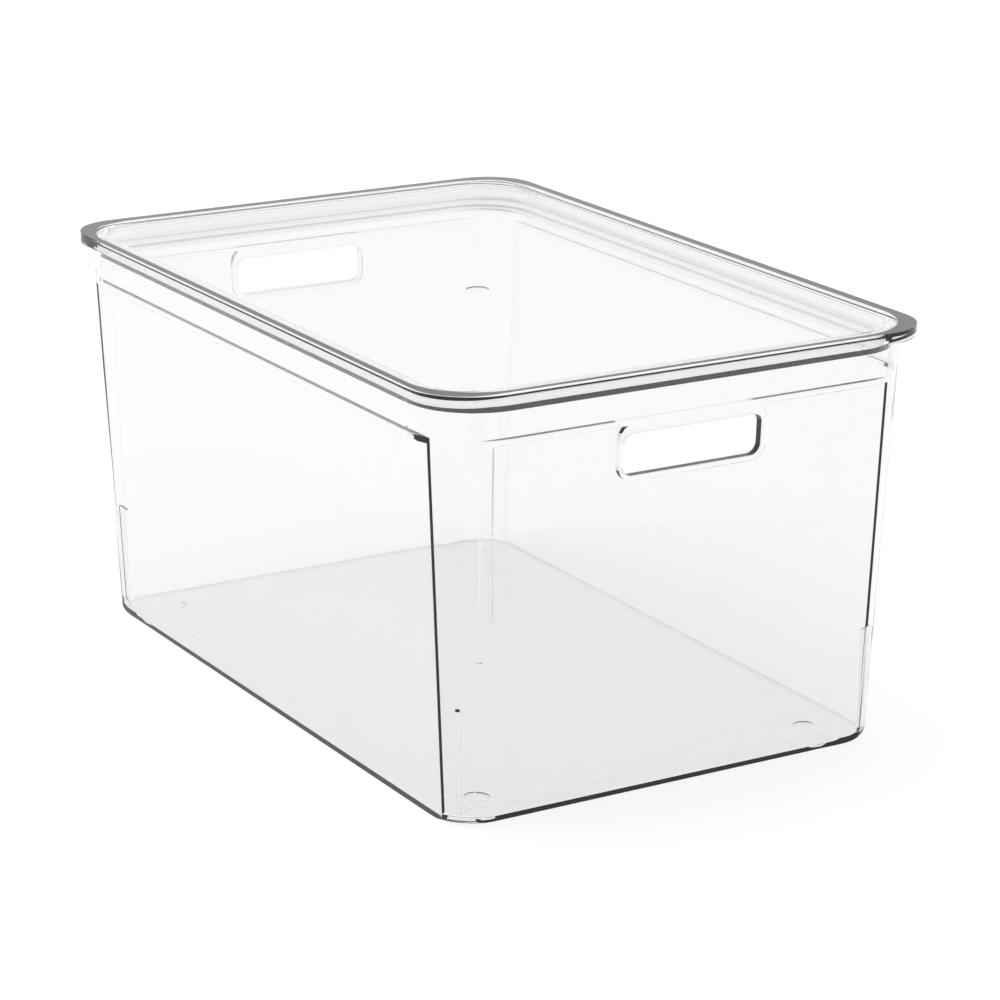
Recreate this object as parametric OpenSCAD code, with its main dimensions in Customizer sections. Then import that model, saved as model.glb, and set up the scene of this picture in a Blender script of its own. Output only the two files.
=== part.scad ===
// Clear storage box with two hand holes and a lift-off lid.
// Millimetres. Z is up, the long side runs along Y, and z = 0 is the plane the box stands on.
// The box is one moulding and the lid is the other. Nothing fastens them: the lid rests on the rim.

/* [Lid and rim] */
// Outside width of the lid and the rim, along X
lid_w = 280; // [180:1:360]
// Outside length of the lid and the rim, along Y
lid_l = 413; // [260:1:520]
// Height of the closed box
total_h = 216; // [120:1:320]
// Outside corner radius of the lid and the rim
lid_corner_r = 27.5; // [12:0.5:34]
// Thickness of the lid's flange
lid_t = 2; // [1.4:0.1:3.5]
// Height of the box's rim, under the lid's flange
rim_h = 3.6; // [2:0.1:8]
// How far the rim stands out from the wall
rim_out = 2.6; // [1.5:0.1:5]
// Width of the small step inside the mouth that leads the lid in
mouth_step = 0.5; // [0.2:0.1:1]
// Depth of that step
mouth_step_h = 1.2; // [0.5:0.1:2.5]

/* [Lid tray] */
// Depth of the tray below the top of the lid
tray_depth = 8.6; // [4:0.2:16]
// Thickness of the tray's floor
tray_floor_t = 2.2; // [1.4:0.1:3.5]
// Thickness of the tray's side wall
tray_wall_t = 2.3; // [1.4:0.1:3.5]
// Gap between the tray's outside and the box's mouth
mouth_clearance = 1.5; // [0.5:0.1:3]
// Corner radius of the step at the top of the tray
tray_lip_r = 18.6; // [8:0.2:26]
// Depth of that step
tray_lip_depth = 0.9; // [0.4:0.1:1.4]
// Width of the step on the straight sides
tray_lip_w = 0.7; // [0.3:0.1:2]

/* [Box wall] */
// Thickness of the walls
wall_t = 2.5; // [1.6:0.1:4]
// Outward lean of each wall, per millimetre of height
draft = 0.05; // [0.01:0.005:0.08]
// Outside corner radius of the wall at the rim
wall_corner_r = 37; // [24:0.5:50]
// Height of the ledge where the plain band ends and the side panels begin
ledge_z = 189.6; // [90:0.2:280]
// How far the side panels are set back from the band
panel_recess = 2.9; // [1:0.1:5]
// Radius of the rounded edge at the base
base_edge_r = 4; // [1.5:0.1:6]

/* [Floor] */
// Thickness of the floor
floor_t = 3; // [2:0.1:5]
// Depth of the relief under the floor, inside the ring the box stands on
foot_relief = 0.8; // [0.3:0.1:1.5]
// Width of that ring
foot_ring_w = 10; // [6:0.5:25]
// Diameter of the round marks near the floor's corners
mark_d = 12; // [5:0.5:20]
// Depth of those marks
mark_depth = 0.5; // [0.2:0.1:1]
// Distance from the box's middle to the marks, along X
mark_x = 96.4; // [50:0.2:130]
// Distance from the box's middle to the marks, along Y
mark_y = 164.4; // [90:0.2:230]
// Diameter of the moulding gate's mark at the middle of the floor and of the tray
gate_d = 6; // [3:0.5:14]
// Height of the gate's mark on the floor
gate_h = 0.4; // [0.2:0.1:1]

/* [Hand holes] */
// Width of each hand hole
hole_w = 78.8; // [50:0.2:120]
// Height of each hand hole
hole_h = 21; // [15:0.2:45]
// Distance from the ledge down to the hole's top edge
hole_drop = 4.4; // [3:0.2:20]
// Corner radius of the hand hole
hole_corner_r = 5.5; // [2:0.1:9]
// Width of the thick frame around the hole, level with the band
frame_w = 2.4; // [1:0.1:8]

/* [Corner ribs] */
// Height of the nesting rib in each inside corner
rib_h = 59; // [20:0.5:100]
// Thickness of the rib
rib_t = 2.2; // [1.2:0.1:4]
// How far the rib's top stands in from the corner's inside face
rib_reach = 4.6; // [2:0.1:8]

/* [Hidden] */
$fn = 96;
slack = 1;
rim_top_z = total_h - lid_t;
rim_low_z = rim_top_z - rim_h;
tray_floor_z = total_h - tray_depth;
tray_low_z = tray_floor_z - tray_floor_t;
tray_inset = rim_out + wall_t + mouth_clearance;
hole_top_z = ledge_z - hole_drop;
hole_low_z = hole_top_z - hole_h;
long_face = lid_l - 2 * rim_out;
short_face = lid_w - 2 * rim_out;

// How far the wall has leaned in at a height, measured from the top of the rim
function lean(z) = (rim_top_z - z) * draft;

// Length along a leaning wall for each millimetre of height
function edge_len() = sqrt(1 + draft * draft);

// Half section of the wall's outside or inside: flat bottom, rounded edge, leaning side
module half_section(reach, low_z, high_z, edge_r) {
    side_x = reach - lean(low_z + edge_r) - edge_r * edge_len();
    touch_x = side_x + edge_r / edge_len();
    touch_z = low_z + edge_r - edge_r * draft / edge_len();
    polygon([[0, low_z], [side_x, low_z], [touch_x, touch_z],
             [reach - lean(high_z), high_z], [0, high_z]]);
    translate([side_x, low_z + edge_r]) circle(r = edge_r);
}

// A bar across the box whose two long faces lean with the wall
module leaning_bar(width, depth, low_z, high_z, edge_r) {
    rotate([90, 0, 0]) linear_extrude(height = depth, center = true) {
        half_section(width / 2, low_z, high_z, edge_r);
        mirror([1, 0]) half_section(width / 2, low_z, high_z, edge_r);
    }
}

// Solid block with leaning sides and rounded corners, moved in from the wall's outside by inset
module wall_block(inset, low_z, high_z, edge_r) {
    core_w = short_face - 2 * wall_corner_r;
    core_l = long_face - 2 * wall_corner_r;
    leaning_bar(short_face - 2 * inset, core_l, low_z, high_z, edge_r);
    rotate([0, 0, 90]) leaning_bar(long_face - 2 * inset, core_w, low_z, high_z, edge_r);
    for (quarter = [0 : 3])
        translate([(quarter == 0 || quarter == 3 ? 1 : -1) * core_w / 2,
                   (quarter < 2 ? 1 : -1) * core_l / 2, 0])
            rotate([0, 0, quarter * 90])
                rotate_extrude(angle = 90)
                    half_section(wall_corner_r - inset, low_z, high_z, edge_r);
}

// What the side panels take off the block below the ledge, on one pair of faces
module panel_cut(face, across, inset, high_z) {
    reach = face / 2 - inset - panel_recess;
    for (side = [0, 1]) mirror([side, 0, 0])
        rotate([90, 0, 0]) linear_extrude(height = across, center = true)
            polygon([[reach - lean(-slack), -slack], [face, -slack],
                     [face, high_z], [reach - lean(high_z), high_z]]);
}

// Upright plate with rounded corners, standing across the short ends
module end_plate(width, low_z, high_z, corner_r, deep) {
    rotate([90, 0, 0]) linear_extrude(height = deep, center = true)
        rounded_outline(width, high_z - low_z, corner_r, (low_z + high_z) / 2);
}

// Rounded rectangle with its middle on the Y axis at mid_y
module rounded_outline(width, height, corner_r, mid_y) {
    translate([0, mid_y]) {
        square([width - 2 * corner_r, height], center = true);
        square([width, height - 2 * corner_r], center = true);
        for (x = [-1, 1], y = [-1, 1])
            translate([x * (width / 2 - corner_r), y * (height / 2 - corner_r)]) circle(r = corner_r);
    }
}

// Flat plate with rounded corners, inset from the lid's outline
module plate(inset, corner_r, low_z, high_z) {
    translate([0, 0, low_z]) linear_extrude(height = high_z - low_z)
        rounded_outline(lid_w - 2 * inset, lid_l - 2 * inset, corner_r, 0);
}

// The frame of each hand hole keeps the band's face, so the panels are not cut there
module hole_frames() {
    end_plate(hole_w + 2 * frame_w, hole_low_z - frame_w, ledge_z + slack,
              hole_corner_r + frame_w, 2 * lid_l);
}

module outside() {
    difference() {
        wall_block(0, 0, rim_top_z - slack, base_edge_r);
        panel_cut(short_face, lid_l, 0, ledge_z);
        difference() {
            rotate([0, 0, 90]) panel_cut(long_face, lid_w, 0, ledge_z);
            hole_frames();
        }
    }
}

module inside() {
    inner_ledge_z = ledge_z + wall_t;
    difference() {
        wall_block(wall_t, floor_t, rim_top_z - mouth_step_h, base_edge_r - 1);
        panel_cut(short_face, lid_l, wall_t, inner_ledge_z);
        rotate([0, 0, 90]) panel_cut(long_face, lid_w, wall_t, inner_ledge_z);
    }
}

// Thin fin on a corner's diagonal. It stops a box nested inside from wedging.
module corner_rib() {
    wall_r = wall_corner_r - lean(rib_h) - wall_t;
    tip_r = wall_r - rib_reach;
    root_low_r = wall_corner_r - lean(floor_t) - wall_t / 2;
    root_high_r = wall_corner_r - lean(rib_h) - wall_t / 2;
    rotate([90, 0, 0]) linear_extrude(height = rib_t, center = true)
        polygon([[tip_r, floor_t - 1], [root_low_r - 1.5, floor_t - 1],
                 [root_low_r, base_edge_r + 1], [root_high_r, rib_h],
                 [wall_r - 1, rib_h], [tip_r, rib_h - rib_reach / 2]]);
}

module corner_ribs() {
    axis_x = short_face / 2 - wall_corner_r;
    axis_y = long_face / 2 - wall_corner_r;
    for (x = [0, 1], y = [0, 1]) mirror([x, 0, 0]) mirror([0, y, 0])
        translate([axis_x, axis_y, 0]) rotate([0, 0, 45]) corner_rib();
}

// Solid ring round the mouth. Its inside is trimmed to the wall's inside.
module rim() {
    plate(0, lid_corner_r, rim_low_z, rim_top_z);
}

module mouth() {
    plate(rim_out + wall_t - mouth_step, wall_corner_r - wall_t + mouth_step,
          rim_top_z - mouth_step_h, rim_top_z + slack);
}

module foot_hollow() {
    base_w = short_face - 2 * (lean(0) + panel_recess + base_edge_r);
    base_l = long_face - 2 * (lean(0) + panel_recess + base_edge_r);
    translate([0, 0, -slack]) linear_extrude(height = foot_relief + slack)
        rounded_outline(base_w - 2 * foot_ring_w, base_l - 2 * foot_ring_w, foot_ring_w, 0);
}

module storage_box() {
    color([0.9, 0.94, 0.96, 0.3]) {
        difference() {
            union() {
                outside();
                rim();
            }
            inside();
            mouth();
            end_plate(hole_w, hole_low_z, hole_top_z, hole_corner_r, 2 * lid_l);
            foot_hollow();
            for (x = [-1, 1], y = [-1, 1])
                translate([x * mark_x, y * mark_y, floor_t - mark_depth])
                    cylinder(d = mark_d, h = mark_depth + slack);
        }
        corner_ribs();
        translate([0, 0, floor_t - slack]) cylinder(d = gate_d, h = gate_h + slack);
    }
}

module lid() {
    mouth_r = wall_corner_r - wall_t - mouth_clearance;
    tray_top_inset = tray_inset + tray_wall_t + tray_lip_w;
    tray_r = mouth_r - tray_wall_t - tray_lip_w;
    color([0.92, 0.96, 0.98, 0.3]) difference() {
        union() {
            plate(0, lid_corner_r, rim_top_z, total_h);
            plate(tray_inset + draft * tray_depth, mouth_r, tray_low_z, total_h - slack);
        }
        plate(tray_top_inset + draft * tray_depth, tray_r, tray_floor_z, total_h + slack);
        plate(tray_inset + tray_wall_t, tray_lip_r, total_h - tray_lip_depth, total_h + slack);
        translate([0, 0, tray_floor_z - gate_h]) cylinder(d = 2 * gate_d, h = gate_h + slack);
    }
}

storage_box();
lid();
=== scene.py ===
"""Clear storage box with a lift-off lid: materials, studio and the photograph's camera."""
import math

import bpy
from mathutils import Matrix, Vector

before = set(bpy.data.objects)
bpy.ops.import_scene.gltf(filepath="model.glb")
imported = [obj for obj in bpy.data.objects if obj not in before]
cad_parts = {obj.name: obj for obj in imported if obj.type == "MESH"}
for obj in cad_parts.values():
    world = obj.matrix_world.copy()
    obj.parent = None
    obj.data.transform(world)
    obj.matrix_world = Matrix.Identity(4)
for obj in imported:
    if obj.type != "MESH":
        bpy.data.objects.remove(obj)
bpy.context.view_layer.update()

# Camera, in metres, degrees and pixels of the 1000 px frame
IMAGE_SIZE = 1000
SENSOR_WIDTH = 36.0
CAMERA_AZIMUTH = -30.89
CAMERA_PITCH = 17.22
CAMERA_ROLL = 0.31
CAMERA_DISTANCE = 1.7864
CAMERA_TARGET = Vector((-0.0171, -0.0524, 0.110))
FOCAL_PIXELS = 3500.7
CLIP_START = 0.01

# Clear moulded plastic. The flow waves set its roughness between two values and its bump.
PLASTIC_IOR = 1.49
PLASTIC_TINT = (0.926, 0.932, 0.935, 1.0)
SMOOTH_ROUGHNESS = 0.012
WAVY_ROUGHNESS = 0.03
FLOW_SCALE = 9.0
FLOW_BUMP = 0.04
FLOW_BUMP_DEPTH = 0.0004

# Studio. The sky is white, and dims towards the side that the photograph was taken from.
WHITE = (1.0, 1.0, 1.0, 1.0)
FLOOR_SIZE = 14.0
FLOOR_COLOUR = (0.25, 0.25, 0.25, 1.0)
FLOOR_GLOW = 0.8
FLOOR_ROUGHNESS = 0.9
FLOOR_SPECULAR = 0.1
FLOOR_DROP = 0.0002
SKY_STRENGTH = 1.0
SKY_DIM = (0.34, 0.344, 0.35, 1.0)
SKY_DIM_FROM = 0.0
SKY_DIM_TO = 0.6
SOFTBOX_SIZE = 1.6
SOFTBOX_POWER = 22.0
SOFTBOX_PLACE = Vector((-0.5, 0.5, 2.0))


def camera_axes():
    """Right, up and back of the photograph's camera."""
    azimuth, pitch, roll = map(math.radians, (CAMERA_AZIMUTH, CAMERA_PITCH, CAMERA_ROLL))
    level_back = Vector((math.sin(azimuth), -math.cos(azimuth), 0.0))
    back = level_back * math.cos(pitch) + Vector((0, 0, math.sin(pitch)))
    level_right = Vector((0, 0, 1)).cross(back).normalized()
    level_up = back.cross(level_right)
    right = level_right * math.cos(roll) + level_up * math.sin(roll)
    up = level_up * math.cos(roll) - level_right * math.sin(roll)
    return right, up, back


def make_camera():
    """Camera fitted to the photograph's edges."""
    right, up, back = camera_axes()
    data = bpy.data.cameras.new("camera")
    data.sensor_width = SENSOR_WIDTH
    data.lens = FOCAL_PIXELS / IMAGE_SIZE * SENSOR_WIDTH
    data.clip_start = CLIP_START
    camera = bpy.data.objects.new("camera", data)
    bpy.context.collection.objects.link(camera)
    turn = Matrix((right, up, back)).transposed().to_4x4()
    camera.matrix_world = Matrix.Translation(CAMERA_TARGET + back * CAMERA_DISTANCE) @ turn
    bpy.context.scene.camera = camera


def clear_plastic(name, seed):
    """Polished clear plastic with the faint waves that moulding leaves in it."""
    material = bpy.data.materials.new(name)
    material.use_nodes = True
    nodes, links = material.node_tree.nodes, material.node_tree.links
    shader = nodes["Principled BSDF"]
    shader.inputs["Base Color"].default_value = PLASTIC_TINT
    shader.inputs["Transmission Weight"].default_value = 1.0
    shader.inputs["IOR"].default_value = PLASTIC_IOR
    place = nodes.new("ShaderNodeTexCoord")
    flow = nodes.new("ShaderNodeTexNoise")
    flow.noise_dimensions = "4D"
    flow.inputs["W"].default_value = seed
    flow.inputs["Scale"].default_value = FLOW_SCALE
    links.new(place.outputs["Object"], flow.inputs["Vector"])
    gloss = nodes.new("ShaderNodeMapRange")
    gloss.inputs["To Min"].default_value = SMOOTH_ROUGHNESS
    gloss.inputs["To Max"].default_value = WAVY_ROUGHNESS
    links.new(flow.outputs["Fac"], gloss.inputs["Value"])
    links.new(gloss.outputs["Result"], shader.inputs["Roughness"])
    wave = nodes.new("ShaderNodeBump")
    wave.inputs["Strength"].default_value = FLOW_BUMP
    wave.inputs["Distance"].default_value = FLOW_BUMP_DEPTH
    links.new(flow.outputs["Fac"], wave.inputs["Height"])
    links.new(wave.outputs["Normal"], shader.inputs["Normal"])
    return material


def dress_nodes():
    """The CAD solids are the visible model: each gets its own clear plastic."""
    for seed, name in enumerate(("storage_box", "lid")):
        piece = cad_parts[name]
        material = clear_plastic("clear_" + name, float(seed))
        for slot in piece.material_slots:
            slot.material = material


def make_floor():
    """Plain pale floor, a hair below the box so that their faces never share a plane."""
    half = FLOOR_SIZE / 2
    mesh = bpy.data.meshes.new("floor")
    corners = [(-half, -half, 0), (half, -half, 0), (half, half, 0), (-half, half, 0)]
    mesh.from_pydata(corners, [], [(0, 1, 2, 3)])
    floor = bpy.data.objects.new("floor", mesh)
    floor.location.z = -FLOOR_DROP
    bpy.context.collection.objects.link(floor)
    material = bpy.data.materials.new("pale_floor")
    material.use_nodes = True
    shader = material.node_tree.nodes["Principled BSDF"]
    shader.inputs["Base Color"].default_value = FLOOR_COLOUR
    shader.inputs["Roughness"].default_value = FLOOR_ROUGHNESS
    shader.inputs["Specular IOR Level"].default_value = FLOOR_SPECULAR
    shader.inputs["Emission Color"].default_value = WHITE
    shader.inputs["Emission Strength"].default_value = FLOOR_GLOW
    mesh.materials.append(material)


def make_sky():
    """White surroundings with one dimmer side, which the clear edges pick up as dark lines."""
    world = bpy.data.worlds.new("studio")
    bpy.context.scene.world = world
    world.use_nodes = True
    nodes, links = world.node_tree.nodes, world.node_tree.links
    back = camera_axes()[2]
    place = nodes.new("ShaderNodeTexCoord")
    towards = nodes.new("ShaderNodeVectorMath")
    towards.operation = "DOT_PRODUCT"
    towards.inputs[1].default_value = (back.x, back.y, 0.0)
    links.new(place.outputs["Generated"], towards.inputs[0])
    ramp = nodes.new("ShaderNodeValToRGB")
    stops = ((SKY_DIM_FROM, WHITE), (SKY_DIM_TO, SKY_DIM))
    for element, (position, colour) in zip(ramp.color_ramp.elements, stops):
        element.position = position
        element.color = colour
    links.new(towards.outputs["Value"], ramp.inputs["Fac"])
    links.new(ramp.outputs["Color"], nodes["Background"].inputs["Color"])
    nodes["Background"].inputs["Strength"].default_value = SKY_STRENGTH


def make_softbox():
    """One large soft light above and behind the box."""
    data = bpy.data.lights.new("softbox", "AREA")
    data.size = SOFTBOX_SIZE
    data.energy = SOFTBOX_POWER
    light = bpy.data.objects.new("softbox", data)
    light.location = SOFTBOX_PLACE
    light.rotation_euler = (-SOFTBOX_PLACE).to_track_quat("-Z", "Y").to_euler()
    bpy.context.collection.objects.link(light)


make_camera()
dress_nodes()
make_floor()
make_sky()
make_softbox()
bpy.context.scene.view_settings.view_transform = "Standard"
